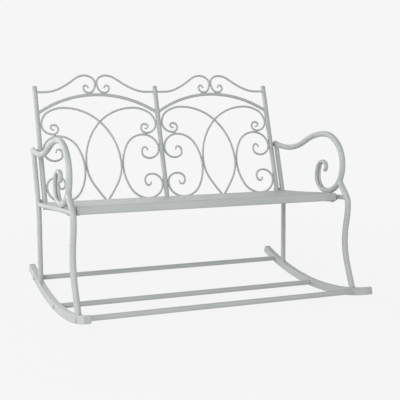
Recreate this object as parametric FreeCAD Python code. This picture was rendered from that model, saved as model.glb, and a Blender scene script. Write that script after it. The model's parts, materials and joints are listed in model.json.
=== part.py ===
import FreeCAD, Part
import math
import os

os.makedirs("parts", exist_ok=True)
Vector = FreeCAD.Vector
pieces = {}

# The bench is drawn with its rear legs plumb: x across the width, y to the rear, z up from
# the floor, y = 0 under the centre of the rocker arc. Every finished piece is rolled back
# about that centre by rest_lean, the angle at which the empty bench balances on its rockers,
# and then moved along y so that the origin lies midway between the bench's front and rear.
rest_lean = 5.37

# Width
bay_width = 570.0
side_frame_offset = 30.0
seat_end_gap = 18.0

# Tubes and bars
arm_diameter = 25.0
front_leg_diameter = 25.0
rear_leg_diameter = 22.0
side_rail_diameter = 20.0
stretcher_diameter = 22.0
post_diameter = 22.0
tube_wall = 1.2
rail_wall = 1.5
scroll_bar = 8.0
arch_bar = 10.0

# Clearances
weld_gap = 0.3
bolt_clearance = 0.5
plug_clearance = 0.4
edge_tolerance = 0.001

# Rockers
rocker_radius = 1648.0
rocker_height = 32.0
rocker_width = 28.0
rocker_wall = 1.5
rocker_corner = 4.0
rocker_front_angle = 14.5
rocker_rear_angle = 18.45
end_cap_plate = 4.0
end_cap_plug = 14.0

# Stretchers, as angles along the rocker arc
front_stretcher_angle = -10.6
stretcher_step_angle = 12.7
stretcher_plug_length = 16.0

# Back panel, measured down its slope from the tops of the posts
post_setback = 190.0
post_top_z = 922.0
back_lean = 17.1
back_height = 539.0
post_below_rail = 3.0
post_cap_plug = 12.0
bottom_rail_size = 20.0
arch_top = 42.0
arch_rise = 89.0
crest_joint = 29.0
crest_height = 50.0
side_scroll_middle = 0.714

# Seat, measured back and down from its front top edge
seat_front_y = -188.0
seat_front_z = 455.0
seat_tilt = 4.1
seat_depth = 510.0
seat_height = 33.0
seat_bar_width = 20.0
seat_bar_wall = 1.5
seat_sheet = 2.0
apron_corner = 6.0
apron_flange = 26.0
apron_lip = 12.0
slat_count = 8
slat_width = 50.0
bearer_height = 25.0
bearer_thickness = 6.0
bearer_x = 190.0

# Rear of the side frames, as distances behind the seat's rear edge and above the floor
rear_leg_setback = 23.0
rear_leg_bend = 30.0
arm_rear = (113.0, 641.0)
arm_sag = (-13.0, 627.0)

# Front of the side frames, as distances to the rear and above the floor
arm_peak = (-42.0, 703.0)
arm_front = (-192.0, 573.0)
arm_bottom_y = -58.0
arm_inner_rear = (18.0, 515.0)
arm_inner_top = (-28.0, 580.5)
arm_inner_front = (-56.0, 558.0)
arm_tip = (-46.0, 543.0)
pressed_width = 29.0
pressed_thickness = 15.5
pressed_groove = 4.0
pressed_tip_width = 18.0
pressed_share = 0.25
taper_start = 0.5
section_sides = 16
scroll_sections = 17
front_leg_joint = (-170.0, 503.0)
front_leg_shoulder = (-219.0, 452.0)
front_leg_front = (-240.0, 409.0)
front_leg_rear = (-218.5, 258.0)
front_leg_foot = (-285.5, 45.0)

# How many degrees less than the seat the side rails fall
side_rail_rise = 1.1

# Fasteners
bolt_diameter = 8.0
bolt_head_diameter = 16.0
bolt_head_height = 5.0
washer_diameter = 20.0
washer_thickness = 1.6
nut_across_flats = 13.0
nut_height = 6.5
lug_width = 22.0
lug_thickness = 4.0
front_lug_inset = 46.0
rear_lug_inset = 13.0
rear_lug_drop = 18.0
tab_height = 18.0
tab_thickness = 4.0
tab_below_arm = 6.0
tab_above_rail = 15.0

# Derived places
side_x = bay_width + side_frame_offset
seat_rear_y = seat_front_y + seat_depth
post_top_y = seat_rear_y + post_setback
rear_leg_y = seat_rear_y + rear_leg_setback
seat_half_length = side_x - side_rail_diameter / 2 - seat_end_gap
rocker_middle_radius = rocker_radius - rocker_height / 2
hole_diameter = bolt_diameter + bolt_clearance
side_rail_bore = side_rail_diameter - 2 * rail_wall
stretcher_bore = stretcher_diameter - 2 * tube_wall
post_bore = post_diameter - 2 * tube_wall
stretcher_angles = [front_stretcher_angle + step * stretcher_step_angle for step in range(3)]
lug_bolt_x = seat_half_length + seat_end_gap / 2
rail_axis_z = side_rail_diameter / 2 + weld_gap + lug_thickness - seat_height


def save(name, shape):
    """Keeps a piece, turned with the whole bench to the pose in which it balances."""
    placed = shape.copy()
    placed.rotate(Vector(0, 0, rocker_radius), Vector(1, 0, 0), -rest_lean)
    pieces[name] = placed


def save_pair(name, right):
    save(name + "_right", right)
    save(name + "_left", mirrored(right))


def write_pieces():
    """Writes every piece, with the origin midway between the bench's front and rear."""
    front = pieces["rocker_end_caps"].optimalBoundingBox(False).YMin
    rear = pieces["crest_scroll_left_a"].optimalBoundingBox(False).YMax
    for name, piece in pieces.items():
        piece.translate(Vector(0, -(front + rear) / 2, 0))
        piece.exportStep("parts/" + name + ".step")


def mirrored(shape, x=0.0):
    return shape.mirror(Vector(x, 0, 0), Vector(1, 0, 0))


# Paths: tangent arcs in one plane, given by a function from two numbers to a point

def side_plane(y, z):
    return Vector(side_x, y, z)


def panel_plane(offset):
    return lambda across, up: Vector(across, offset, up)


def arc_edge(plane, start, direction, end):
    """Arc that leaves start along direction and ends at end."""
    chord = (end[0] - start[0], end[1] - start[1])
    ahead = direction[0] * chord[0] + direction[1] * chord[1]
    aside = direction[0] * chord[1] - direction[1] * chord[0]
    half_turn = math.atan2(aside, ahead)
    if abs(half_turn) < 0.0001:
        return Part.makeLine(plane(*start), plane(*end))
    rise = math.tan(half_turn / 2) / 2
    middle = ((start[0] + end[0]) / 2 + chord[1] * rise, (start[1] + end[1]) / 2 - chord[0] * rise)
    return Part.Arc(plane(*start), plane(*middle), plane(*end)).toShape()


def arc_path(plane, stations):
    """Two tangent arcs between each station and the next; a station is a point and a heading."""
    edges = []
    for (start, heading), (end, next_heading) in zip(stations, stations[1:]):
        leaving = (math.cos(math.radians(heading)), math.sin(math.radians(heading)))
        arriving = (math.cos(math.radians(next_heading)), math.sin(math.radians(next_heading)))
        chord = (end[0] - start[0], end[1] - start[1])
        ahead = chord[0] * (leaving[0] + arriving[0]) + chord[1] * (leaving[1] + arriving[1])
        square = chord[0] ** 2 + chord[1] ** 2
        turn = 1 - leaving[0] * arriving[0] - leaving[1] * arriving[1]
        if turn < 0.000001:
            reach = square / (2 * ahead)
        else:
            reach = (math.sqrt(ahead ** 2 + 2 * turn * square) - ahead) / (2 * turn)
        joint = (
            (start[0] + end[0] + reach * (leaving[0] - arriving[0])) / 2,
            (start[1] + end[1] + reach * (leaving[1] - arriving[1])) / 2,
        )
        back = (-arriving[0], -arriving[1])
        edges.append(arc_edge(plane, start, leaving, joint))
        edges.append(arc_edge(plane, end, back, joint))
    return edges


def path_start(edges):
    first = edges[0]
    start = first.valueAt(first.FirstParameter)
    return start, first.tangentAt(first.FirstParameter)


def round_bar(edges, diameter):
    start, direction = path_start(edges)
    rim = Part.Wire(Part.Circle(start, direction, diameter / 2).toShape())
    return Part.Wire(edges).makePipeShell([rim], True, False)


def round_tube(edges, diameter):
    start, direction = path_start(edges)
    rim = Part.Face(Part.Wire(Part.Circle(start, direction, diameter / 2).toShape()))
    bore = Part.Face(Part.Wire(Part.Circle(start, direction, diameter / 2 - tube_wall).toShape()))
    return Part.Wire(edges).makePipe(rim.cut(bore).Faces[0])


def square_bar(edges, size):
    """Square bar along a path that lies in the panel, two faces to the front and rear."""
    start, direction = path_start(edges)
    front = Vector(0, size / 2, 0)
    side = direction.cross(Vector(0, 1, 0)) * (size / 2)
    corners = [start + front + side, start + front - side, start - front - side, start - front + side]
    rim = Part.makePolygon(corners + corners[:1])
    return Part.Wire(edges).makePipeShell([rim], True, False)


# Plain solids

def cylinder(start, direction, diameter, length):
    return Part.makeCylinder(diameter / 2, length, start, direction)


def ring(start, direction, diameter, bore, length):
    return cylinder(start, direction, diameter, length).cut(cylinder(start, direction, bore, length))


def hexagon_nut(start, direction, length):
    across = Vector(0, 1, 0) if abs(direction.x) > 0.5 else Vector(1, 0, 0)
    corner = across * (nut_across_flats / math.sqrt(3))
    points = []
    for step in range(7):
        turn = FreeCAD.Rotation(direction, 60 * step)
        points.append(start + turn.multVec(corner))
    prism = Part.Face(Part.makePolygon(points)).extrude(direction * length)
    return prism.cut(cylinder(start, direction, hole_diameter, length))


def nut_face(bore):
    """How far from a tube's axis the nut inside it lies, its corners just clear of the bore."""
    corner_radius = nut_across_flats / math.sqrt(3)
    return math.sqrt((bore / 2) ** 2 - corner_radius ** 2) - weld_gap


def bolt(head_seat, direction, shank_length):
    """Button head outside head_seat, shank along direction."""
    shank = cylinder(head_seat, direction, bolt_diameter, shank_length)
    head = cylinder(head_seat - direction * bolt_head_height, direction, bolt_head_diameter, bolt_head_height)
    return shank.fuse(head).removeSplitter()


def rounded_rectangle(width, height, corner):
    """Wire in the x and z plane, centred on the origin."""
    edges = []
    for turn in range(4):
        span = (width, height) if turn % 2 == 0 else (height, width)
        straight = Part.makeLine(
            Vector(-span[0] / 2 + corner, 0, -span[1] / 2),
            Vector(span[0] / 2 - corner, 0, -span[1] / 2),
        )
        round_start = Vector(span[0] / 2 - corner, 0, -span[1] / 2)
        round_end = Vector(span[0] / 2, 0, -span[1] / 2 + corner)
        reach = corner * math.sqrt(0.5)
        round_middle = Vector(span[0] / 2 - corner + reach, 0, -span[1] / 2 + corner - reach)
        rounding = Part.Arc(round_start, round_middle, round_end).toShape()
        for edge in (straight, rounding):
            edge.rotate(Vector(), Vector(0, -1, 0), 90 * turn)
            edges.append(edge)
    return Part.Wire(edges)


def box_tube(x_from, x_to, y_from, y_to, z_from, z_to, wall, along_x):
    size = (x_to - x_from, y_to - y_from, z_to - z_from)
    outer = Part.makeBox(*size, Vector(x_from, y_from, z_from))
    if along_x:
        bore = Part.makeBox(size[0], size[1] - 2 * wall, size[2] - 2 * wall)
        bore.translate(Vector(x_from, y_from + wall, z_from + wall))
    else:
        bore = Part.makeBox(size[0] - 2 * wall, size[1], size[2] - 2 * wall)
        bore.translate(Vector(x_from + wall, y_from, z_from + wall))
    return outer.cut(bore)


# Rockers, stretchers and their fasteners

def along_rocker(shape, angle):
    """Moves a shape drawn under the rocker's centre to an angle along the arc."""
    moved = shape.copy()
    moved.rotate(Vector(0, 0, rocker_radius), Vector(1, 0, 0), angle)
    return moved


def rocker_outline():
    section = rounded_rectangle(rocker_width, rocker_height, rocker_corner)
    section.translate(Vector(side_x, 0, rocker_height / 2))
    return Part.Face(section)


def rocker_inside(clearance):
    """Room inside the rocker's tube, with the given clearance to its walls."""
    width = rocker_width - 2 * rocker_wall - 2 * clearance
    height = rocker_height - 2 * rocker_wall - 2 * clearance
    corner = Vector(side_x - width / 2, 0, rocker_height / 2 - height / 2)
    across = corner + Vector(width, 0, 0)
    rise = Vector(0, 0, height)
    return Part.Face(Part.makePolygon([corner, across, across + rise, corner + rise, corner]))


def rocker_sweep(face, start_angle, end_angle):
    start = along_rocker(face, start_angle)
    return start.revolve(Vector(side_x, 0, rocker_radius), Vector(1, 0, 0), end_angle - start_angle)


def rocker():
    profile = rocker_outline().cut(rocker_inside(0)).Faces[0]
    body = rocker_sweep(profile, -rocker_front_angle, rocker_rear_angle)
    for angle in stretcher_angles:
        start = Vector(side_x - rocker_width, 0, rocker_height / 2)
        hole = cylinder(start, Vector(1, 0, 0), hole_diameter, 2 * rocker_width)
        body = body.cut(along_rocker(hole, angle))
    return body


def rocker_end_cap(angle, outward):
    degrees_per_mm = math.degrees(1 / rocker_middle_radius) * outward
    plate = rocker_sweep(rocker_outline(), angle, angle + end_cap_plate * degrees_per_mm)
    plug = rocker_sweep(rocker_inside(plug_clearance), angle, angle - end_cap_plug * degrees_per_mm)
    return plate.fuse(plug)


def stretcher():
    half_length = side_x - rocker_width / 2 - weld_gap
    start = Vector(-half_length, 0, rocker_height / 2)
    return ring(start, Vector(1, 0, 0), stretcher_diameter, stretcher_bore, 2 * half_length)


def stretcher_plug():
    start = Vector(side_x - rocker_width / 2 - weld_gap - stretcher_plug_length, 0, rocker_height / 2)
    return ring(start, Vector(1, 0, 0), stretcher_bore - plug_clearance, hole_diameter, stretcher_plug_length)


def rocker_washer():
    start = Vector(side_x + rocker_width / 2, 0, rocker_height / 2)
    return ring(start, Vector(1, 0, 0), washer_diameter, hole_diameter, washer_thickness)


def rocker_bolt():
    seat = Vector(side_x + rocker_width / 2 + washer_thickness, 0, rocker_height / 2)
    return bolt(seat, Vector(-1, 0, 0), washer_thickness + rocker_width + stretcher_plug_length)


# Side frames

def behind_seat(place):
    return seat_rear_y + place[0], place[1]


def rail_height(y):
    """Height of the side rail's axis, that falls a little less than the seat beside it."""
    tilt = math.radians(seat_tilt)
    lug_y = seat_front_y + front_lug_inset * math.cos(tilt) + rail_axis_z * math.sin(tilt)
    lug_z = seat_front_z - front_lug_inset * math.sin(tilt) + rail_axis_z * math.cos(tilt)
    return lug_z - (y - lug_y) * math.tan(math.radians(seat_tilt - side_rail_rise))


def arm_stations():
    above_rail = (side_rail_diameter + arm_diameter) / 2 + 2 * weld_gap
    arm_bottom = (arm_bottom_y, rail_height(arm_bottom_y) + above_rail)
    tube = [
        (behind_seat(arm_rear), 192),
        (behind_seat(arm_sag), 180),
        (arm_peak, 180),
        (arm_front, 270),
        (arm_bottom, 360),
    ]
    scroll = [
        (arm_bottom, 360),
        (arm_inner_rear, 90),
        (arm_inner_top, 180),
        (arm_inner_front, 270),
        (arm_tip, 350),
    ]
    return tube, scroll


def pressed_section(point, tangent, width, thickness, groove):
    """Closed section across the arm's scroll, hollowed along its concave side."""
    inward = Vector(1, 0, 0).cross(tangent)
    points = []
    for step in range(section_sides + 1):
        angle = 2 * math.pi * step / section_sides
        across = math.cos(angle) * width / 2
        deep = math.sin(angle) * thickness / 2
        if deep > 0:
            deep -= groove * math.sin(angle) ** 4
        points.append(point + Vector(across, 0, 0) + inward * deep)
    points[-1] = points[0]
    return Part.makePolygon(points)


def arm_scroll(edges):
    """End of the arm, pressed from the round tube to a flat grooved scroll."""
    points = Part.Wire(edges).discretize(Number=scroll_sections)
    last = scroll_sections - 1
    sections = []
    for step, point in enumerate(points):
        ahead = points[min(step + 1, last)] - points[max(step - 1, 0)]
        tangent = ahead.normalize() if step > 0 else Vector(0, 1, 0)
        pressed = min(step / last / pressed_share, 1.0)
        taper = max((step / last - taper_start) / (1 - taper_start), 0.0)
        width = pressed_width + (pressed_tip_width - pressed_width) * taper
        width = arm_diameter + (width - arm_diameter) * pressed
        thickness = arm_diameter + (pressed_thickness - arm_diameter) * pressed
        sections.append(pressed_section(point, tangent, width, thickness, pressed_groove * pressed))
    return Part.makeLoft(sections, True, True)


def back_tab_downs():
    """How far below the post tops the two tabs of a side lie."""
    lean = math.radians(back_lean)
    arm_y, arm_z = behind_seat(arm_rear)
    arm_down = (post_top_y - arm_y) * math.sin(lean) + (post_top_z - arm_z) * math.cos(lean)
    return arm_down + tab_below_arm, back_height - tab_above_rail


def back_point(down):
    """Point on the axis line of the outer posts, that far below the post tops."""
    lean = math.radians(back_lean)
    return post_top_y - down * math.sin(lean), post_top_z - down * math.cos(lean)


def arm():
    tube, scroll = arm_stations()
    start = side_plane(*behind_seat(arm_rear))
    end_dome = Part.makeSphere(arm_diameter / 2, start)
    body = round_bar(arc_path(side_plane, tube), arm_diameter).fuse(end_dome)
    return body.fuse(arm_scroll(arc_path(side_plane, scroll))).removeSplitter()


def arm_room():
    """The arm's tube grown by the weld gap, to cut what is welded to it."""
    tube, scroll = arm_stations()
    grown = arm_diameter + 2 * weld_gap
    end_dome = Part.makeSphere(grown / 2, side_plane(*behind_seat(arm_rear)))
    return round_bar(arc_path(side_plane, tube), grown).fuse(end_dome)


def rocker_room():
    """The rocker grown by the weld gap, to cut what is welded on top of it."""
    return rocker_sweep(rocker_inside(-rocker_wall - weld_gap), -rocker_front_angle, rocker_rear_angle)


def rocker_middle_z(y):
    return rocker_radius - math.sqrt(rocker_middle_radius ** 2 - y ** 2)


def rear_leg_path():
    bend_z = back_point((post_top_y - rear_leg_y) / math.sin(math.radians(back_lean)))[1]
    lean = math.radians(back_lean)
    bend_end = (rear_leg_y + rear_leg_bend * math.sin(lean), bend_z + rear_leg_bend * math.cos(lean))
    stations = [
        ((rear_leg_y, rocker_middle_z(rear_leg_y)), 90),
        ((rear_leg_y, bend_z - rear_leg_bend), 90),
        (bend_end, 90 - back_lean),
        (back_point(back_tab_downs()[0]), 90 - back_lean),
    ]
    return arc_path(side_plane, stations)


def rear_leg():
    body = round_tube(rear_leg_path(), rear_leg_diameter)
    return largest_solid(body.cut(arm_room()).cut(rocker_room()))


def front_leg_path():
    back = front_leg_joint[0] - front_leg_shoulder[0]
    up = front_leg_joint[1] - front_leg_shoulder[1]
    shoulder_heading = 180 + math.degrees(math.atan2(up, back))
    stations = [
        (front_leg_joint, shoulder_heading),
        (front_leg_shoulder, shoulder_heading),
        (front_leg_front, 270),
        (front_leg_rear, 270),
        (front_leg_foot, 247),
    ]
    return arc_path(side_plane, stations)


def front_leg():
    body = round_bar(front_leg_path(), front_leg_diameter)
    return largest_solid(body.cut(arm_room()).cut(rocker_room()))


def largest_solid(shape):
    return max(shape.Solids, key=lambda solid: solid.Volume)


def seat_placed(shape):
    """Moves a piece of the level seat to the seat's place and tilt."""
    placed = shape.copy()
    placed.rotate(Vector(), Vector(1, 0, 0), -seat_tilt)
    placed.translate(Vector(0, seat_front_y, seat_front_z))
    return placed


def rail_bar(diameter):
    """Bar beside the level seat, along the side rail's axis, from the front leg to the rear leg."""
    front = front_leg_front[0] - seat_front_y
    length = seat_depth + rear_leg_setback - front
    bar = cylinder(Vector(side_x, front, rail_axis_z), Vector(0, 1, 0), diameter, length)
    bar.rotate(Vector(side_x, front_lug_inset, rail_axis_z), Vector(1, 0, 0), side_rail_rise)
    return bar


def side_rail():
    """Tube under the arm, between the two legs."""
    tube = seat_placed(rail_bar(side_rail_diameter).cut(rail_bar(side_rail_bore)))
    rear_room = round_bar(rear_leg_path(), rear_leg_diameter + 2 * weld_gap)
    front_room = round_bar(front_leg_path(), front_leg_diameter + 2 * weld_gap)
    return largest_solid(tube.cut(rear_room).cut(front_room))


# Seat, drawn level: y to the rear from the front edge, z down from the top

def long_edges(block, y):
    """Edges of a block that run along x in its front face."""
    lengthwise = [edge for edge in block.Edges if edge.BoundBox.XLength > seat_half_length]
    return [edge for edge in lengthwise if abs(edge.BoundBox.YMax - y) < edge_tolerance]


def apron():
    """Front rail folded from sheet: top flange, rounded front, face and bottom lip."""
    sheet = seat_sheet
    height = seat_height
    outer = Part.makeBox(2 * seat_half_length, apron_flange, height, Vector(-seat_half_length, 0, -height))
    inner = Part.makeBox(2 * seat_half_length, apron_flange, height - 2 * sheet)
    inner.translate(Vector(-seat_half_length, sheet, sheet - height))
    outer = outer.makeFillet(apron_corner, long_edges(outer, 0))
    inner = inner.makeFillet(apron_corner - sheet, long_edges(inner, sheet))
    open_rear = Part.makeBox(2 * seat_half_length, apron_flange, height / 2)
    open_rear.translate(Vector(-seat_half_length, apron_lip, -height))
    return outer.cut(inner).cut(open_rear)


def lug_places():
    """How far back the bolted lugs lie, and the height at which a seat lug meets its frame lug."""
    return ((front_lug_inset, -seat_height), (seat_depth - rear_lug_inset, -rear_lug_drop))


def lug_plate(x_from, x_to, place, under):
    """Plate with a bolt hole, under or above the height at which two lugs meet."""
    y, level = place
    bottom = level - lug_thickness if under else level
    plate = Part.makeBox(x_to - x_from, lug_width, lug_thickness, Vector(x_from, y - lug_width / 2, bottom))
    hole = cylinder(Vector(lug_bolt_x, y, bottom), Vector(0, 0, 1), hole_diameter, lug_thickness)
    return plate.cut(hole)


def seat_end_bar():
    front = apron_lip + weld_gap
    inside = seat_half_length - seat_bar_width
    bottom = -seat_height
    return box_tube(inside, seat_half_length, front, seat_depth, bottom, -seat_sheet, seat_bar_wall, False)


def seat_rear_rail():
    inside = seat_half_length - seat_bar_width - weld_gap
    front = seat_depth - seat_bar_width
    return box_tube(-inside, inside, front, seat_depth, -seat_height, -seat_sheet, seat_bar_wall, True)


def seat_bearer():
    front = apron_lip + weld_gap
    length = seat_depth - seat_bar_width - weld_gap - front
    bearer = Part.makeBox(bearer_thickness, length, bearer_height)
    bearer.translate(Vector(bearer_x, front, -seat_sheet - bearer_height))
    return bearer


def seat_slat(index):
    pitch = (seat_depth - apron_flange) / slat_count
    front = apron_flange + (index + 1) * pitch - slat_width
    return Part.makeBox(2 * seat_half_length, slat_width, seat_sheet, Vector(-seat_half_length, front, -seat_sheet))


def seat_lug(place):
    """Plate under or beside the seat's end bar that reaches out towards the side rail."""
    inside = seat_half_length - seat_bar_width
    plate = lug_plate(inside, lug_bolt_x + lug_width / 2, place, True)
    bar_room = Part.makeBox(seat_bar_width + weld_gap, seat_depth, seat_height, Vector(inside, 0, -seat_height))
    return plate.cut(bar_room)


def frame_lug(place):
    """Plate above a seat lug that reaches in from the side rail."""
    plate = lug_plate(seat_half_length + plug_clearance, side_x, place, False)
    return largest_solid(plate.cut(rail_bar(side_rail_diameter + 2 * weld_gap)))


def seat_bolt(place):
    head_seat = Vector(lug_bolt_x, place[0], place[1] - lug_thickness)
    return bolt(head_seat, Vector(0, 0, 1), 2 * lug_thickness + nut_height)


def seat_nut(place):
    return hexagon_nut(Vector(lug_bolt_x, place[0], place[1] + lug_thickness), Vector(0, 0, 1), nut_height)


# Back panel, drawn plumb: x across, z up from the post tops, front to minus y

def back_placed(shape):
    placed = shape.copy()
    placed.rotate(Vector(), Vector(1, 0, 0), -back_lean)
    placed.translate(Vector(0, post_top_y, post_top_z))
    return placed


def post_x(index):
    return (index - 1) * bay_width


def post(index):
    radius = post_diameter / 2
    bottom = -back_height - bottom_rail_size - post_below_rail
    start = Vector(post_x(index), 0, bottom)
    tube = ring(start, Vector(0, 0, 1), post_diameter, post_bore, -radius - bottom)
    if index != 1:
        for down in back_tab_downs():
            tube = tube.cut(cylinder(Vector(post_x(index), 0, -down), Vector(0, 1, 0), hole_diameter, radius))
    return tube


def post_room(index):
    radius = post_diameter / 2 + weld_gap
    return Part.makeCylinder(radius, back_height * 2, Vector(post_x(index), 0, -back_height * 1.5))


def post_cap(index):
    radius = post_diameter / 2
    centre = Vector(post_x(index), 0, -radius)
    dome = Part.makeSphere(radius, centre, Vector(0, 0, 1), 0, 90, 360)
    plug_start = centre - Vector(0, 0, post_cap_plug)
    plug = cylinder(plug_start, Vector(0, 0, 1), post_bore - plug_clearance, post_cap_plug)
    return dome.fuse(plug).removeSplitter()


def arch_radius():
    half = bay_width / 2
    return (half ** 2 + arch_rise ** 2) / (2 * arch_rise)


def arch_down(across):
    """How far below the post tops the middle of the arch lies."""
    from_middle = across - bay_width / 2
    return arch_top + arch_radius() - math.sqrt(arch_radius() ** 2 - from_middle ** 2)


def bay_placed(shape, bay):
    placed = shape.copy()
    placed.translate(Vector(post_x(bay), 0, 0))
    return placed


def between_posts(shape, bay):
    """Cuts a bar off at the two posts of its bay."""
    return largest_solid(bay_placed(shape, bay).cut(post_room(bay)).cut(post_room(bay + 1)))


def arch(bay):
    plane = panel_plane(0)
    ends = -arch_top - arch_rise
    edge = Part.Arc(plane(0, ends), plane(bay_width / 2, -arch_top), plane(bay_width, ends)).toShape()
    return between_posts(square_bar([edge], arch_bar), bay)


def bottom_rail(bay):
    half = bottom_rail_size / 2
    top = -back_height
    tube = box_tube(0, bay_width, -half, half, top - bottom_rail_size, top, tube_wall, True)
    return between_posts(tube, bay)


def share(across, down):
    """Point of a bay, as shares of its width and of the height above the bottom rail."""
    return across * bay_width, -down * back_height


def crest_scroll(bay):
    """S scroll above the arch, from the bay's left post to its middle."""
    middle = bay_width / 2 - scroll_bar / 2 - weld_gap / 2
    rest_across = 0.435 * bay_width
    rest = -arch_down(rest_across) + (arch_bar + scroll_bar) / 2 + 2 * weld_gap
    stations = [
        ((0, -crest_joint), 0),
        (share(0.079, crest_joint / back_height), 0),
        (share(0.268, -0.017), 33.5),
        ((0.412 * bay_width, crest_height), 0),
        ((middle, 0.26 * crest_height), 270),
        ((rest_across, rest), 180),
        (share(0.393, 0.020), 90),
        (share(0.411, -0.004), 0),
        (share(0.432, 0.013), 270),
    ]
    bar = square_bar(arc_path(panel_plane(0), stations), scroll_bar)
    return largest_solid(bay_placed(bar, bay).cut(post_room(bay)))


def side_scroll_reach():
    """From the middle of a side scroll to its lowest stretch, which rests on the bottom rail."""
    return (1 - side_scroll_middle) * back_height - scroll_bar / 2 - weld_gap


def crossing_scroll(bay, in_front):
    """Long bar from the middle of the bottom rail up to a scroll at the left post."""
    touch = (post_diameter + scroll_bar) / 2 + weld_gap
    offset = (scroll_bar + weld_gap) / 2
    side_scroll_top = side_scroll_reach() - side_scroll_middle * back_height
    plane = panel_plane(-offset if in_front else offset)
    stations = [
        (share(0.502, 1.0 + scroll_bar / back_height), 52),
        (share(0.642, 0.679), 90),
        (share(0.211, 0.193), 180),
        ((touch, -0.338 * back_height), 270),
        ((0.110 * bay_width, side_scroll_top + scroll_bar + weld_gap), 360),
        (share(0.155, 0.377), 450),
        (share(0.123, 0.340), 540),
        (share(0.096, 0.360), 630),
        (share(0.118, 0.382), 720),
    ]
    bar = square_bar(arc_path(plane, stations), scroll_bar)
    rail_room = Part.makeBox(bay_width, bay_width, bay_width)
    rail_room.translate(Vector(0, -bay_width / 2, -back_height - bay_width + weld_gap))
    return largest_solid(bay_placed(bar.cut(rail_room), bay))


def side_scroll(bay):
    """C scroll against the bay's right post, the same above and below its middle."""
    touch = bay_width - (post_diameter + scroll_bar) / 2 - weld_gap
    bulge = 0.642 * bay_width + scroll_bar + 2 * weld_gap
    middle = side_scroll_middle * back_height
    reach = side_scroll_reach()
    turns = [
        (0.877 * bay_width, 0.520),
        (0.856 * bay_width, 0.600),
        (0.828 * bay_width, 0.433),
        (0.891 * bay_width, 0.247),
        (touch, 0.553),
        (0.849 * bay_width, 1.0),
        (bulge, 0.0),
    ]
    upper = [((across, -middle + level * reach), 90 * (step + 1)) for step, (across, level) in enumerate(turns)]
    lower = []
    for (across, up), heading in reversed(upper[:-1]):
        lower.append(((across, -2 * middle - up), 1260 - heading))
    bar = square_bar(arc_path(panel_plane(0), upper + lower), scroll_bar)
    return largest_solid(bay_placed(bar, bay))


def bay_mirrored(shape, bay):
    """Mirror image about the middle of the bay."""
    return mirrored(shape, post_x(bay) + bay_width / 2)


def back_tab(down):
    """Plate behind a side post, welded to the arm or the rear leg beside it."""
    plate = Part.makeBox(side_frame_offset + tab_height / 2, tab_thickness, tab_height)
    plate.translate(Vector(bay_width - tab_height / 2, post_diameter / 2 + weld_gap, -down - tab_height / 2))
    hole = cylinder(Vector(bay_width, 0, -down), Vector(0, 1, 0), hole_diameter, post_diameter)
    return largest_solid(back_placed(plate.cut(hole)).cut(arm_room()))


def back_bolt(down):
    """Bolt from behind, through the tab and the rear wall of the post."""
    head_seat = Vector(bay_width, post_diameter / 2 + weld_gap + tab_thickness, -down)
    shank_length = head_seat.y - nut_face(post_bore) + nut_height
    return back_placed(bolt(head_seat, Vector(0, -1, 0), shank_length))


def back_nut(down):
    start = Vector(bay_width, nut_face(post_bore), -down)
    return back_placed(hexagon_nut(start, Vector(0, -1, 0), nut_height))


# Side frames
save_pair("rocker", rocker())
save_pair("front_leg", front_leg())
save_pair("rear_leg", rear_leg())
save_pair("arm", arm())
save_pair("side_rail", side_rail())

# Stretchers
for name, angle in zip(("front", "middle", "rear"), stretcher_angles):
    save(name + "_stretcher", along_rocker(stretcher(), angle))

# Seat
save("seat_front_rail", seat_placed(apron()))
save("seat_rear_rail", seat_placed(seat_rear_rail()))
save_pair("seat_end_bar", seat_placed(seat_end_bar()))
save_pair("seat_bearer", seat_placed(seat_bearer()))
for index in range(slat_count):
    save("seat_slat_" + str(index + 1), seat_placed(seat_slat(index)))

# Back panel
for index, name in enumerate(("left", "centre", "right")):
    save("post_" + name, back_placed(post(index)))
for bay, name in enumerate(("left", "right")):
    save("arch_" + name, back_placed(arch(bay)))
    save("bottom_rail_" + name, back_placed(bottom_rail(bay)))
    crest = crest_scroll(bay)
    save("crest_scroll_" + name + "_a", back_placed(crest))
    save("crest_scroll_" + name + "_b", back_placed(bay_mirrored(crest, bay)))
    save("crossing_scroll_" + name + "_a", back_placed(crossing_scroll(bay, True)))
    save("crossing_scroll_" + name + "_b", back_placed(bay_mirrored(crossing_scroll(bay, False), bay)))
    side = side_scroll(bay)
    save("side_scroll_" + name + "_a", back_placed(bay_mirrored(side, bay)))
    save("side_scroll_" + name + "_b", back_placed(side))

# Groups of like fittings
def both_sides(pieces):
    return Part.makeCompound(pieces + [mirrored(piece) for piece in pieces])


caps = [rocker_end_cap(-rocker_front_angle, -1), rocker_end_cap(rocker_rear_angle, 1)]
save("rocker_end_caps", both_sides(caps))
save("rocker_bolts", both_sides([along_rocker(rocker_bolt(), angle) for angle in stretcher_angles]))
save("rocker_washers", both_sides([along_rocker(rocker_washer(), angle) for angle in stretcher_angles]))
save("stretcher_plugs", both_sides([along_rocker(stretcher_plug(), angle) for angle in stretcher_angles]))
save("post_caps", Part.makeCompound([back_placed(post_cap(index)) for index in range(3)]))
save("back_tabs", both_sides([back_tab(down) for down in back_tab_downs()]))
save("back_bolts", both_sides([back_bolt(down) for down in back_tab_downs()]))
save("back_nuts", both_sides([back_nut(down) for down in back_tab_downs()]))
save("seat_lugs", both_sides([seat_placed(seat_lug(place)) for place in lug_places()]))
save("frame_lugs", both_sides([seat_placed(frame_lug(place)) for place in lug_places()]))
save("seat_bolts", both_sides([seat_placed(seat_bolt(place)) for place in lug_places()]))
save("seat_nuts", both_sides([seat_placed(seat_nut(place)) for place in lug_places()]))

write_pieces()
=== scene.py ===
import bpy
import bmesh
import json
from math import atan2, ceil, cos, degrees, pi, radians, sin, sqrt, tan
from mathutils import Euler, Matrix, Vector
from mathutils.bvhtree import BVHTree

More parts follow.
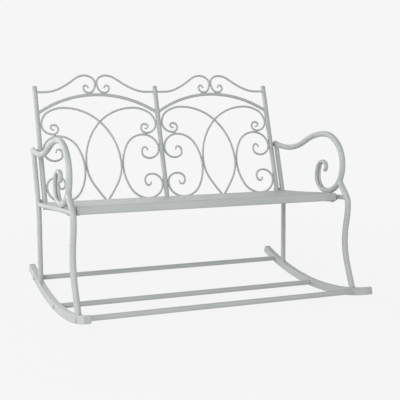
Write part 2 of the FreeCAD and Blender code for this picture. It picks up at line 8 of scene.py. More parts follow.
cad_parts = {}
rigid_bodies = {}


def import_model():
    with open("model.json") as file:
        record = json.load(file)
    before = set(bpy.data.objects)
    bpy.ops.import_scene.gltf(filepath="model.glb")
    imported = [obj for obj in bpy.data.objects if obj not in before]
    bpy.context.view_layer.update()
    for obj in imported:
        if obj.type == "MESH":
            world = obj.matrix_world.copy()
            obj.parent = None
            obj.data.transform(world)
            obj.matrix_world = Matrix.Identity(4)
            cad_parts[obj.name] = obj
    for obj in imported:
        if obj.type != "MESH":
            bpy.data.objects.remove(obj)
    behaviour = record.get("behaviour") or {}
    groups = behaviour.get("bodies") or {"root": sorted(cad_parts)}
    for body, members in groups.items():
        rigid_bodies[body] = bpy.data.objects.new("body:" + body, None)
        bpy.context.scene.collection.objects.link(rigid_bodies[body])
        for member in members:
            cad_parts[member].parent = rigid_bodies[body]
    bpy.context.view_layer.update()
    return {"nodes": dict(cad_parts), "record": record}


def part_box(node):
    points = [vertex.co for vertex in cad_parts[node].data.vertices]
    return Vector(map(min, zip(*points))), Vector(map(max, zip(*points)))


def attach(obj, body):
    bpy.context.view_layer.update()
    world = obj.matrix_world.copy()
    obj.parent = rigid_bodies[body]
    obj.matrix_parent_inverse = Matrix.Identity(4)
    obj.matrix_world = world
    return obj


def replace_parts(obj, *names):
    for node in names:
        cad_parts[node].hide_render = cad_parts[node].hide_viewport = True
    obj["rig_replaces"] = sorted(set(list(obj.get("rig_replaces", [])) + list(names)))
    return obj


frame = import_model()
nodes = frame["nodes"]
print("frame loaded:", len(nodes), "nodes")


# Paint on the frame, its welds and its bolts, and the plastic of the caps

paintLook = {
    "colour": (0.420, 0.443, 0.436),
    "paleColour": (0.450, 0.472, 0.465),
    "dustColour": (0.600, 0.612, 0.602),
    "roughness": 0.46,
    "roughnessDrift": (-0.06, 0.10),
    "specular": 0.42,
    "peelScale": 1100.0,        # orange peel of the powder coat
    "peelDepth": 0.06,
    "patchScale": 4.0,          # slow drift of the colour
    "patchDetail": 4.0,
    "patchEdges": (0.35, 0.70),     # noise levels between which one colour turns into the next
    "dustEdges": (0.30, 0.75),
    "dustShare": 0.10,          # thin dust on what faces up
    "dustSlope": 0.35,          # how far a face has to turn up to hold any
    "speckScale": 420.0,        # fine specks in the coat
    "speckDetail": 1.0,
    "speckEdges": (0.62, 0.74),
    "speckShare": 0.18,
}

weldLook = dict(paintLook, roughness=0.40, peelScale=700.0, peelDepth=0.12)
boltLook = dict(paintLook, roughness=0.36, peelScale=1800.0)

plasticLook = {
    "colour": (0.395, 0.416, 0.409),
    "roughness": 0.58,
    "specular": 0.42,
    "cloudScale": 60.0,
    "cloudDetail": 2.0,
    "cloudEdges": (0.3, 0.7),
    "cloudDepth": 0.05,         # how far the colour strays, as a share of it
    "grainScale": 1600.0,
    "grainDepth": 0.10,
}


def startMaterial(name, look):
    material = bpy.data.materials.new(name)
    material.use_nodes = True
    tree = material.node_tree
    shader = tree.nodes["Principled BSDF"]
    shader.inputs["Roughness"].default_value = look["roughness"]
    shader.inputs["Specular IOR Level"].default_value = look["specular"]
    place = tree.nodes.new("ShaderNodeTexCoord")
    return material, tree, shader, place


def addNoise(tree, place, scale, detail):
    noise = tree.nodes.new("ShaderNodeTexNoise")
    noise.inputs["Scale"].default_value = scale
    noise.inputs["Detail"].default_value = detail
    tree.links.new(place.outputs["Object"], noise.inputs["Vector"])
    return noise.outputs["Fac"]


def addRamp(tree, value, edges, colours):
    ramp = tree.nodes.new("ShaderNodeValToRGB")
    for element, edge, colour in zip(ramp.color_ramp.elements, edges, colours):
        element.position = edge
        element.color = (*colour, 1)
    tree.links.new(value, ramp.inputs["Fac"])
    return ramp.outputs["Color"]


def addRange(tree, value, known, wanted):
    mapped = tree.nodes.new("ShaderNodeMapRange")
    for socket, amount in zip(("From Min", "From Max", "To Min", "To Max"), (*known, *wanted)):
        mapped.inputs[socket].default_value = amount
    tree.links.new(value, mapped.inputs["Value"])
    return mapped


def addMix(tree, amount, first):
    mix = tree.nodes.new("ShaderNodeMix")
    mix.data_type = "RGBA"
    tree.links.new(amount, mix.inputs["Factor"])
    tree.links.new(first, mix.inputs["A"])
    return mix


def addBump(tree, shader, place, scale, depth, distance=0.0004, detail=2.0):
    bump = tree.nodes.new("ShaderNodeBump")
    bump.inputs["Strength"].default_value = depth
    bump.inputs["Distance"].default_value = distance
    tree.links.new(addNoise(tree, place, scale, detail), bump.inputs["Height"])
    tree.links.new(bump.outputs["Normal"], shader.inputs["Normal"])


def powderCoat(name, look):
    material, tree, shader, place = startMaterial(name, look)
    patches = addNoise(tree, place, look["patchScale"], look["patchDetail"])
    coat = addRamp(tree, patches, look["patchEdges"], (look["colour"], look["paleColour"]))
    dust = addRamp(tree, patches, look["dustEdges"], (look["dustColour"], look["paleColour"]))
    geometry = tree.nodes.new("ShaderNodeNewGeometry")
    facing = tree.nodes.new("ShaderNodeSeparateXYZ")
    tree.links.new(geometry.outputs["Normal"], facing.inputs["Vector"])
    settled = addRange(tree, facing.outputs["Z"], (look["dustSlope"], 1), (0, look["dustShare"]))
    dusty = addMix(tree, settled.outputs["Result"], coat)
    tree.links.new(dust, dusty.inputs["B"])
    specks = addNoise(tree, place, look["speckScale"], look["speckDetail"])
    fleck = addRamp(tree, specks, look["speckEdges"], ((0, 0, 0), (look["speckShare"],) * 3))
    flecked = addMix(tree, fleck, dusty.outputs["Result"])
    flecked.inputs["B"].default_value = (*look["colour"], 1)
    tree.links.new(flecked.outputs["Result"], shader.inputs["Base Color"])
    drift = [look["roughness"] + shift for shift in look["roughnessDrift"]]
    sheen = addRange(tree, patches, (0, 1), drift)
    tree.links.new(sheen.outputs["Result"], shader.inputs["Roughness"])
    addBump(tree, shader, place, look["peelScale"], look["peelDepth"])
    return material


def mouldedPlastic(name, look):
    material, tree, shader, place = startMaterial(name, look)
    cloud = addNoise(tree, place, look["cloudScale"], look["cloudDetail"])
    darker = [part * (1 - look["cloudDepth"]) for part in look["colour"]]
    paler = [part * (1 + look["cloudDepth"]) for part in look["colour"]]
    clouded = addRamp(tree, cloud, look["cloudEdges"], (darker, paler))
    tree.links.new(clouded, shader.inputs["Base Color"])
    addBump(tree, shader, place, look["grainScale"], look["grainDepth"])
    return material


framePaint = powderCoat("framePaint", paintLook)
weldPaint = powderCoat("weldPaint", weldLook)
boltPaint = powderCoat("boltPaint", boltLook)
capPlastic = mouldedPlastic("capPlastic", plasticLook)
print("materials made")


# Where the parts of the bench stand: lengths in metres, turns in degrees

bench = {
    "leanBack": 5.37,           # how far the empty bench leans on its rockers
    "rockerRadius": 1.648,
    "rockerHeight": 0.032,
    "rockerWidth": 0.028,
    "stretcherTurns": {"front": -10.6, "middle": 2.1, "rear": 14.8},
    "bayWidth": 0.570,
    "sideX": 0.600,
    "postTop": (0.512, 0.922),
    "backLean": 17.1,
    "backHeight": 0.539,
    "railSize": 0.020,          # of the back's bottom rails
    "seatFront": (-0.188, 0.455),
    "seatTilt": 4.1,
    "sideRail": (-0.14346, 0.43306, 357.0),     # a point of its axis and its heading
    "sideRailEnds": (-0.234, 0.344),
    "seatBolts": ((0.046, 0.037), (0.497, 0.022)),      # back and down from the seat's front edge
    "seatBoltX": 0.581,
    "backBolts": (0.2972, 0.524),               # down from the post tops
    "weldGap": 0.0003,
}

leanTurn = radians(bench["leanBack"])
stretcherPath = bench["rockerRadius"] - bench["rockerHeight"] / 2
lowCorner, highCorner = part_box("middle_stretcher")
middleStretcherTurn = radians(bench["stretcherTurns"]["middle"])
shiftY = (lowCorner[1] + highCorner[1]) / 2 - stretcherPath * sin(middleStretcherTurn - leanTurn)

fromDrawing = (
    Matrix.Translation((0, shiftY, bench["rockerRadius"]))
    @ Matrix.Rotation(-leanTurn, 4, "X")
    @ Matrix.Translation((0, 0, -bench["rockerRadius"]))
)
backPlace = (
    fromDrawing
    @ Matrix.Translation((0, *bench["postTop"]))
    @ Matrix.Rotation(-radians(bench["backLean"]), 4, "X")
)
seatPlace = (
    fromDrawing
    @ Matrix.Translation((0, *bench["seatFront"]))
    @ Matrix.Rotation(-radians(bench["seatTilt"]), 4, "X")
)
mirrorX = Matrix.Scale(-1, 4, (1, 0, 0))
sidePlace = fromDrawing @ Matrix.Translation((bench["sideX"], 0, 0)) @ Matrix.Rotation(radians(90), 4, "Z")
sidePlaces = {"right": sidePlace, "left": mirrorX @ sidePlace}
bayNames = ("left", "right")
postNames = ("left", "centre", "right")


def alongRocker(turn):
    lift = Matrix.Translation((0, 0, bench["rockerRadius"]))
    return fromDrawing @ lift @ Matrix.Rotation(radians(turn), 4, "X") @ lift.inverted()


def inBay(index, offset=0.0, mirrored=False):
    # The place of the post with this number, or of the next one seen in a mirror
    place = backPlace @ Matrix.Translation(((index - 1) * bench["bayWidth"], offset, 0))
    if mirrored:
        place = place @ Matrix.Translation((bench["bayWidth"], 0, 0)) @ mirrorX
    return place


# Finishing a mesh into a piece that rides on the bench

mergeDistance = 0.00001         # metres within which two points are one
slotOfNode = {part["node"]: part["material_slot"] for part in frame["record"]["subparts"]}
materialOfSlot = {"paint": framePaint, "cap_plastic": capPlastic, "fasteners": boltPaint}


def finishPiece(name, bm, node=None, place=Matrix.Identity(4), slot="paint", material=None, sharp=35):
    bmesh.ops.transform(bm, matrix=place, verts=bm.verts)
    bmesh.ops.remove_doubles(bm, verts=bm.verts, dist=mergeDistance)
    bmesh.ops.recalc_face_normals(bm, faces=bm.faces)
    for face in bm.faces:
        face.smooth = True
    mesh = bpy.data.meshes.new(name)
    bm.to_mesh(mesh)
    bm.free()
    mesh.set_sharp_from_angle(angle=radians(sharp))
    mesh.materials.append(material or materialOfSlot[slot])
    piece = bpy.data.objects.new(name, mesh)
    bpy.context.scene.collection.objects.link(piece)
    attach(piece, "root")
    if node:
        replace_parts(piece, node)
    return piece


# Bars and tubes swept along tangent arcs: a station is across, up and a heading in degrees

circular = 2.0                  # squareness of a round bar: more is squarer
tubeSegments = 32
straightTurn = 0.002            # radians: an arc that turns less is drawn straight
parallelShare = 0.000001        # two headings whose cosine is this near to 1 are parallel


def vertsOf(items):
    return [item for item in items if isinstance(item, bmesh.types.BMVert)]


def ringEdges(ring):
    touching = dict.fromkeys(edge for vert in ring for edge in vert.link_edges)
    return [edge for edge in touching if all(vert in ring for vert in edge.verts)]


def extrudeRing(bm, ring):
    return vertsOf(bmesh.ops.extrude_edge_only(bm, edges=ringEdges(ring))["geom"])


def scaleRing(bm, ring, middle, size):
    bmesh.ops.scale(bm, vec=(size, size, size), space=Matrix.Translation(-middle), verts=ring)


def closeFlat(bm, ring):
    bmesh.ops.contextual_create(bm, geom=ringEdges(ring))


def closeDome(bm, ring, middle, outward, height, steps=5):
    # Rounds an end off, as a ball for a height of the bar's radius and blunter for less
    reached, width = 0.0, 1.0
    for step in range(1, steps):
        angle = step / steps * pi / 2
        ring = extrudeRing(bm, ring)
        scaleRing(bm, ring, middle + outward * reached, cos(angle) / width)
        bmesh.ops.translate(bm, vec=outward * (height * sin(angle) - reached), verts=ring)
        reached, width = height * sin(angle), cos(angle)
    tip = extrudeRing(bm, ring)
    bmesh.ops.pointmerge(bm, verts=tip, merge_co=middle + outward * height)


def headingVector(heading):
    return Vector((cos(heading), 0, sin(heading)))


def sidewaysVector(heading):
    return Vector((-sin(heading), 0, cos(heading)))


def arcTo(start, heading, end):
    chord = end - start
    direction = headingVector(heading)
    aside = direction.x * chord.z - direction.z * chord.x
    turn = 2 * atan2(aside, chord.dot(direction))
    return {"start": start, "heading": heading, "turn": turn, "end": end}


def tangentArcs(stations):
    # Two arcs from each station to the next, which meet where their headings agree
    arcs = []
    for first, second in zip(stations, stations[1:]):
        start, end = Vector((first[0], 0, first[1])), Vector((second[0], 0, second[1]))
        heading = radians(first[2])
        leaving, arriving = headingVector(heading), headingVector(radians(second[2]))
        chord = end - start
        ahead = chord.dot(leaving + arriving)
        turn = 1 - leaving.dot(arriving)
        square = chord.dot(chord)
        if turn < parallelShare:
            reach = square / (2 * ahead)
        else:
            reach = (sqrt(ahead ** 2 + 2 * turn * square) - ahead) / (2 * turn)
        joint = (start + end + (leaving - arriving) * reach) / 2
        arcs.append(arcTo(start, heading, joint))
        arcs.append(arcTo(joint, heading + arcs[-1]["turn"], end))
    return arcs


def stopMatrix(point, heading):
    axes = Matrix((Vector((0, 1, 0)), sidewaysVector(heading), headingVector(heading)))
    return Matrix.Translation(point) @ axes.transposed().to_4x4()


def startRing(bm, point, heading, section):
    size, squareness, segments = section
    ring = bmesh.ops.create_circle(bm, segments=segments, radius=1.0)["verts"]
    for vert in ring:
        fullness = abs(vert.co.x) ** squareness + abs(vert.co.y) ** squareness
        vert.co *= fullness ** (-1 / squareness)
    bmesh.ops.scale(bm, vec=(size / 2, size / 2, 1), verts=ring)
    bmesh.ops.transform(bm, matrix=stopMatrix(point, heading), verts=ring)
    return ring


def sweepRing(bm, ring, arcs, stepTurn, stepLength):
    # Returns every ring of the bar with its middle, its heading and how far along it lies
    stops = [(ring, arcs[0]["start"], arcs[0]["heading"], 0.0)]
    travelled = 0.0
    for arc in arcs:
        start, end, heading, turn = arc["start"], arc["end"], arc["heading"], arc["turn"]
        chord = (end - start).length
        straight = abs(turn) < straightTurn
        length = chord if straight else chord * turn / (2 * sin(turn / 2))
        steps = max(1, ceil(abs(turn) / radians(stepTurn)), ceil(length / stepLength))
        middle = start if straight else start + sidewaysVector(heading) * chord / (2 * sin(turn / 2))
        for step in range(1, steps + 1):
            if straight:
                ring = extrudeRing(bm, ring)
                bmesh.ops.translate(bm, vec=(end - start) / steps, verts=ring)
                point = start.lerp(end, step / steps)
            else:
                spun = bmesh.ops.spin(
                    bm, geom=ring + ringEdges(ring), cent=middle, axis=(0, -1, 0),
                    angle=turn / steps, steps=1, use_duplicate=False,
                )
                ring = vertsOf(spun["geom_last"])
                point = middle + Matrix.Rotation(-turn * step / steps, 3, "Y") @ (start - middle)
            far = travelled + length * step / steps
            stops.append((ring, point, heading + turn * step / steps, far))
        travelled += length
    return stops


def sweptBar(stations, section, tips=(), stepTurn=8, stepLength=0.06):
    # The ends named in tips are domed, the others flat
    bm = bmesh.new()
    arcs = tangentArcs(stations)
    ring = startRing(bm, arcs[0]["start"], arcs[0]["heading"], section)
    stops = sweepRing(bm, ring, arcs, stepTurn, stepLength)
    for tip, (ring, middle, heading, _), sign in (("start", stops[0], -1), ("end", stops[-1], 1)):
        if tip in tips:
            closeDome(bm, ring, middle, headingVector(heading) * sign, section[0] / 2)
        else:
            closeFlat(bm, ring)
    return bm, stops


def tubeMesh(stations, diameter, stepLength=0.06):
    section = (diameter, circular, tubeSegments)
    return sweptBar(stations, section, stepTurn=5, stepLength=stepLength)[0]


# Back panel: scrolls, arches and posts

backSizes = {
    "postDiameter": 0.022,
    "postFoot": 0.003,          # how far the posts run past the bottom rails
    "archTop": 0.042,           # down from the post tops
    "archRise": 0.089,
    "archBar": 0.0128,          # a little stouter than in the frame, as photographed
    "archSquareness": 4.5,
    "archSegments": 24,
    "frameBar": 0.008,          # the scroll bars of the frame, which set the scrolls' places
    "scrollBar": 0.0093,        # the same bars as drawn, a little stouter
    "scrollSquareness": 2.7,
    "scrollSegments": 14,
    "crestJoint": 0.029,        # down from the post tops
    "crestHeight": 0.050,
    "crestNeck": 0.26,          # share of the crest's height where the two crests touch
    "crestFoot": 0.435,         # share of the bay where a crest rests on the arch
    "sideScrollMiddle": 0.714,  # share of the back's height
    "sideScrollEnd": 0.849,     # share of the bay where a side scroll is highest and lowest
    "sideScrollTouch": 0.553,   # where it meets the post, as a share of its reach
    "crossingTouch": 0.338,     # where a crossing rod meets the post, as a share of the height
    "crossingBulge": 0.642,     # share of the bay where it lies furthest across
    "tipTaper": 0.62,           # the curls' inner ends are drawn out thinner
    "tipLength": 0.022,
}

bay = bench["bayWidth"]
backHeight = bench["backHeight"]
frameBar = backSizes["frameBar"]
postHalf = backSizes["postDiameter"] / 2
touch = postHalf + frameBar / 2
halfSpan = bay / 2
archRadius = (halfSpan ** 2 + backSizes["archRise"] ** 2) / (2 * backSizes["archRise"])
sideMiddle = backSizes["sideScrollMiddle"] * backHeight
sideReach = backHeight - sideMiddle - frameBar / 2


def share(across, down):
    return across * bay, -down * backHeight


def archDown(across):
    return backSizes["archTop"] + archRadius - sqrt(archRadius ** 2 - (across - halfSpan) ** 2)


def scrollPiece(name, stations, tips, place):
    section = (backSizes["scrollBar"], backSizes["scrollSquareness"], backSizes["scrollSegments"])
    bm, stops = sweptBar(stations, section, tips, stepTurn=9)
    total = stops[-1][3]
    taper, length = backSizes["tipTaper"], backSizes["tipLength"]
    for ring, point, _, far in stops:
        fromTip = {"start": far, "end": total - far}
        nearest = min(fromTip[tip] for tip in tips)
        if nearest < length:
            scaleRing(bm, ring, point, taper + (1 - taper) * nearest / length)
    finishPiece(name + "_bar", bm, name, place)


def crestStations():
    middle = halfSpan - frameBar / 2 - bench["weldGap"] / 2
    foot = backSizes["crestFoot"] * bay
    rest = -archDown(foot) + (backSizes["archBar"] + frameBar) / 2 + bench["weldGap"]
    return [
        (0.006, -backSizes["crestJoint"], 0),
        (0.079 * bay, -backSizes["crestJoint"], 0),
        (*share(0.268, -0.017), 33.5),
        (0.412 * bay, backSizes["crestHeight"], 0),
        (middle, backSizes["crestNeck"] * backSizes["crestHeight"], 270),
        (foot, rest, 180),
        (*share(0.393, 0.020), 90),
        (*share(0.411, -0.004), 0),
        (*share(0.432, 0.013), 270),
    ]


def crossingStations():
    loopBottom = sideReach - sideMiddle + frameBar + bench["weldGap"]
    return [
        (*share(0.491, 1.0 + frameBar / backHeight), 52),       # its foot, sunk into the rail
        (*share(backSizes["crossingBulge"], 0.679), 90),
        (*share(0.211, 0.193), 180),
        (touch, -backSizes["crossingTouch"] * backHeight, 270),
        (0.110 * bay, loopBottom, 360),
        (*share(0.155, 0.377), 450),
        (*share(0.123, 0.340), 540),
        (*share(0.096, 0.360), 630),
        (*share(0.118, 0.382), 720),
    ]


def sideStations():
    # The upper half's heights are shares of its reach, and the lower half mirrors it
    bulge = backSizes["crossingBulge"] * bay + frameBar + 2 * bench["weldGap"]
    turns = [
        (0.877 * bay, 0.520),
        (0.856 * bay, 0.600),
        (0.828 * bay, 0.433),
        (0.891 * bay, 0.247),
        (bay - touch, backSizes["sideScrollTouch"]),
        (backSizes["sideScrollEnd"] * bay, 1.0),
        (bulge, 0.0),
    ]
    upper = [
        (across, level * sideReach - sideMiddle, 90 * (step + 1))
        for step, (across, level) in enumerate(turns)
    ]
    halfTurn = upper[-1][2]
    lower = [
        (across, -2 * sideMiddle - up, 2 * halfTurn - heading)
        for across, up, heading in reversed(upper[:-1])
    ]
    return upper + lower


scrolls = {                     # stations, offset from the back's middle, mirrored hand, domed ends
    "crest_scroll": (crestStations(), 0, "b", ("end",)),
    "crossing_scroll": (crossingStations(), frameBar / 2, "b", ("end",)),
    "side_scroll": (sideStations(), 0, "a", ("start", "end")),
}
archHeading = degrees(atan2(halfSpan, archRadius - backSizes["archRise"]))
archEnd = -backSizes["archTop"] - backSizes["archRise"]
archStations = [(0, archEnd, archHeading), (bay, archEnd, -archHeading)]
archSection = (backSizes["archBar"], backSizes["archSquareness"], backSizes["archSegments"])

for bayIndex, bayName in enumerate(bayNames):
    for kind, (stations, offset, mirroredHand, tips) in scrolls.items():
        for hand, sign in (("a", -1), ("b", 1)):
            place = inBay(bayIndex, sign * offset, hand == mirroredHand)
            scrollPiece(kind + "_" + bayName + "_" + hand, stations, tips, place)
    arch = sweptBar(archStations, archSection, stepTurn=3)[0]
    finishPiece("arch_" + bayName + "_bar", arch, "arch_" + bayName, inBay(bayIndex))
print("scrolls and arches made")

capLook = {
    "height": 0.011,
    "diameter": 0.0226,         # a shade wider than the tube, so its rim shows
    "skirt": 0.0022,            # height of the straight rim
}

postFoot = -backHeight - bench["railSize"] - backSizes["postFoot"]
postStations = [(0, postFoot, 90), (0, -capLook["height"], 90)]
for index, name in enumerate(postNames):
    post = tubeMesh(postStations, backSizes["postDiameter"], stepLength=1.0)
    finishPiece("post_" + name + "_tube", post, "post_" + name, inBay(index))

caps = bmesh.new()
upward = Vector((0, 0, 1))
for index in range(len(postNames)):
    foot = Vector(((index - 1) * bay, 0, -capLook["height"]))
    ring = startRing(caps, foot, radians(90), (capLook["diameter"], circular, tubeSegments))
    closeFlat(caps, ring)
    ring = extrudeRing(caps, ring)
    bmesh.ops.translate(caps, vec=upward * capLook["skirt"], verts=ring)
    domeHeight = capLook["height"] - capLook["skirt"]
    closeDome(caps, ring, foot + upward * capLook["skirt"], upward, domeHeight, steps=7)
finishPiece("post_caps_domed", caps, "post_caps", backPlace, slot="cap_plastic")
print("posts made")


# Side frames: arms, legs and side rails

sideSizes = {
    "armDiameter": 0.025,
    "armSegments": 44,
    "armStep": (5, 0.04),       # degrees and metres between rings of the plain tube
    "curlStep": (6, 0.02),      # the same in the curl
    "pressedWidth": 0.029,
    "pressedThickness": 0.0155,
    "creaseDepth": 0.12,        # how deep the fold runs past the tube's middle, in half thicknesses
    "creaseFade": 0.60,         # share of the fold that is lost at the tip
    "tipWidth": 0.018,
    "roundShare": 0.22,         # share of the curl over which the tube is pressed flat
    "frontLegDiameter": 0.025,
    "rearLegDiameter": 0.022,
    "rearLegY": 0.345,
    "rearLegBend": 0.030,       # length of the bend at seat level, each side of its middle
    "sideRailDiameter": 0.020,
}

armTube = [
    (0.435, 0.641, 192),
    (0.309, 0.627, 180),
    (-0.042, 0.703, 180),
    (-0.192, 0.573, 270),
    (-0.058, 0.4517, 360),
]
armScroll = [
    armTube[-1],
    (0.018, 0.515, 450),
    (-0.028, 0.5805, 540),
    (-0.056, 0.558, 630),
    (-0.046, 0.543, 710),
]
frontLeg = [
    (-0.170, 0.503, 226.15),
    (-0.219, 0.452, 226.15),
    (-0.240, 0.409, 270),
    (-0.2185, 0.258, 270),
    (-0.2855, 0.045, 247),
]


def rearLegStations():
    lean = radians(bench["backLean"])
    along = 90 - bench["backLean"]
    postY, postZ = bench["postTop"]
    legY, bend, top = sideSizes["rearLegY"], sideSizes["rearLegBend"], bench["backBolts"][0]
    bendZ = postZ - (postY - legY) / tan(lean)
    footZ = bench["rockerRadius"] - sqrt(stretcherPath ** 2 - legY ** 2)
    return [
        (legY, footZ, 90),
        (legY, bendZ - bend, 90),
        (legY + bend * sin(lean), bendZ + bend * cos(lean), along),
        (postY - top * sin(lean), postZ - top * cos(lean), along),
    ]


def railStation(y):
    knownY, knownZ, heading = bench["sideRail"]
    return y, knownZ + (y - knownY) * tan(radians(heading)), heading


def smoothShare(value):
    value = max(0.0, min(1.0, value))
    return value * value * (3 - 2 * value)


def between(first, second, amount):
    return first + (second - first) * amount


def pressArm(stops, scrollStart):
    # Flattens the tube's last rings and folds their wall in along the inside of the curl
    full = sideSizes["armDiameter"]
    deep = sideSizes["creaseDepth"]
    length = stops[-1][3] - scrollStart
    for ring, point, heading, far in stops:
        along = (far - scrollStart) / length
        if along <= 0:
            continue
        pressed = smoothShare(along / sideSizes["roundShare"])
        taper = smoothShare(2 * along - 1)
        flatWidth = between(sideSizes["pressedWidth"], sideSizes["tipWidth"], taper)
        width = between(full, flatWidth, pressed)
        depth = between(full, sideSizes["pressedThickness"], pressed)
        creased = pressed * (1 - sideSizes["creaseFade"] * taper)
        fromRing = stopMatrix(point, heading)
        toRing = fromRing.inverted()
        for vert in ring:
            flat = toRing @ vert.co
            across = min(1.0, abs(2 * flat.x / full))
            inward = flat.y > 0
            flat.x *= width / full
            flat.y *= depth / full
            if inward:
                folded = 2 * sqrt(across * (1 - across)) * (1 + deep) - deep
                flat.y = between(flat.y, folded * depth / 2, creased)
            vert.co = fromRing @ flat


def armMesh():
    bm = bmesh.new()
    full = sideSizes["armDiameter"]
    tube = tangentArcs(armTube)
    ring = startRing(bm, tube[0]["start"], tube[0]["heading"], (full, circular, sideSizes["armSegments"]))
    stops = sweepRing(bm, ring, tube, *sideSizes["armStep"])
    scrollStart = stops[-1][3]
    curl = sweepRing(bm, stops[-1][0], tangentArcs(armScroll), *sideSizes["curlStep"])
    stops += [(ring, point, heading, far + scrollStart) for ring, point, heading, far in curl[1:]]
    pressArm(stops, scrollStart)
    rearRing, rearPoint, rearHeading, _ = stops[0]
    tipRing, tipPoint, tipHeading, _ = stops[-1]
    closeDome(bm, rearRing, rearPoint, -headingVector(rearHeading), full / 2, steps=7)
    closeDome(bm, tipRing, tipPoint, headingVector(tipHeading), sideSizes["pressedThickness"] / 2)
    return bm


def sidePair(name, makeMesh):
    for side, place in sidePlaces.items():
        finishPiece(name + "_" + side + "_tube", makeMesh(), name + "_" + side, place)


rearLeg = rearLegStations()
sideRail = [railStation(y) for y in bench["sideRailEnds"]]
sidePair("arm", armMesh)
sidePair("side_rail", lambda: tubeMesh(sideRail, sideSizes["sideRailDiameter"]))
sidePair("front_leg", lambda: tubeMesh(frontLeg, sideSizes["frontLegDiameter"]))
sidePair("rear_leg", lambda: tubeMesh(rearLeg, sideSizes["rearLegDiameter"]))
print("arms and legs made")


# Stretchers

stretcherSizes = {
    "diameter": 0.022,
    "bedded": 0.0004,           # how far the ends run into the rockers' walls
}

halfLength = bench["sideX"] - bench["rockerWidth"] / 2 + stretcherSizes["bedded"]
level = bench["rockerHeight"] / 2
stretcherStations = [(-halfLength, level, 0), (halfLength, level, 0)]
for name, turn in bench["stretcherTurns"].items():
    stretcher = tubeMesh(stretcherStations, stretcherSizes["diameter"], stepLength=2.0)
    finishPiece(name + "_stretcher_tube", stretcher, name + "_stretcher", alongRocker(turn))
print("stretchers made")


# Bolts: button heads with a six-sided socket, on plain shanks

boltSizes = {
    "headRadius": 0.008,
    "headHeight": 0.0048,
    "rim": 0.0010,              # straight edge under the dome
    "domeSteps": 5,
    "flatShare": 1.45,          # the flat round the socket, in radii of the socket
    "socketRadius": 0.0027,
    "socketDepth": 0.0024,
    "socketMouth": 1.08,        # how far the socket opens at its top
    "mouthDepth": 0.0003,
    "shankRadius": 0.0039,
    "shanks": {"rocker": 0.0456, "back": 0.0158, "seat": 0.0145},
    "segments": 24,
    "washer": 0.0016,
    "backSeat": 0.0153,         # how far behind the posts' middle the back bolts' heads sit
}


def hexagonReach(angle):
    # How far out a hexagon's side lies, as a share of its corners' distance
    corner = pi / 3
    fold = (angle + corner / 2) % corner - corner / 2
    return cos(corner / 2) / cos(fold)


def boltProfile():
    sizes = boltSizes
    top, rim, outer, socket = sizes["headHeight"], sizes["rim"], sizes["headRadius"], sizes["socketRadius"]
    flat = socket * sizes["flatShare"]
    profile = [(0, sizes["shankRadius"], False), (0, outer, False), (rim, outer, False)]
    for step in range(1, sizes["domeSteps"] + 1):
        angle = step / sizes["domeSteps"] * pi / 2
        profile.append((between(rim, top, sin(angle)), between(flat, outer, cos(angle)), False))
    return profile + [
        (top, socket * sizes["socketMouth"], True),
        (top - sizes["mouthDepth"], socket, True),
        (top - sizes["socketDepth"], socket, True),
    ]


def addBolt(bm, place, shankLength):
    shank = (2 * boltSizes["shankRadius"], circular, boltSizes["segments"])
    ring = startRing(bm, Vector((0, 0, -shankLength)), radians(90), shank)
    closeFlat(bm, ring)
    made = list(ring)
    for rise, radius, sixSided in boltProfile():
        ring = extrudeRing(bm, ring)
        for vert in ring:
            angle = atan2(vert.co.y, vert.co.x)
            reach = radius * hexagonReach(angle) if sixSided else radius
            vert.co = (cos(angle) * reach, sin(angle) * reach, rise)
        made += ring
    closeFlat(bm, ring)
    bmesh.ops.transform(bm, matrix=place, verts=made)


outward = Matrix.Rotation(radians(90), 4, "Y")
toRear = Matrix.Rotation(radians(-90), 4, "X")
downward = Matrix.Rotation(radians(180), 4, "X")
rockerSide = bench["sideX"] + bench["rockerWidth"] / 2 + boltSizes["washer"]
rockerSeat = Matrix.Translation((rockerSide, 0, bench["rockerHeight"] / 2))
backSeats = [Matrix.Translation((bay, boltSizes["backSeat"], -down)) for down in bench["backBolts"]]
seatSeats = [Matrix.Translation((bench["seatBoltX"], back, -down)) for back, down in bench["seatBolts"]]
boltPlaces = {                  # on the right side of the bench
    "rocker": [alongRocker(turn) @ rockerSeat @ outward for turn in bench["stretcherTurns"].values()],
    "back": [backPlace @ seat @ toRear for seat in backSeats],
    "seat": [seatPlace @ seat @ downward for seat in seatSeats],
}
for group, places in boltPlaces.items():
    bolts = bmesh.new()
    for place in places:
        addBolt(bolts, place, boltSizes["shanks"][group])
        addBolt(bolts, mirrorX @ place, boltSizes["shanks"][group])
    finishPiece(group + "_bolts_heads", bolts, group + "_bolts", slot="fasteners", sharp=38)
print("bolts made")


# Pieces that keep the shape they have in the frame, with their edges softened

edgeSoftness = {                # metres
    "bottom_rail": 0.0015,
    "seat_slat": 0.0007,
    "seat_end_bar": 0.0012,
    "seat_rear_rail": 0.0012,
    "seat_bearer": 0.0006,
    "seat_lugs": 0.0006,
    "back_tabs": 0.0006,
    "seat_front_rail": 0.0004,
    "rocker_end_caps": 0.0009,
    "frame_lugs": 0.0006,
    "washers": 0.0003,
}
carrySizes = {
    "mergeDistance": 0.00002,
    "flatTurn": 0.5,            # degrees: faces that differ by less become one before softening
    "sharpTurn": 30,
    "softTurn": 35,
    "softSegments": 2,
}


def softenEdges(piece, width):
    soften = piece.modifiers.new("softEdges", "BEVEL")
    soften.width = width
    soften.segments = carrySizes["softSegments"]
    soften.limit_method = "ANGLE"
    soften.angle_limit = radians(carrySizes["softTurn"])
    soften.use_clamp_overlap = False
    soften.harden_normals = True


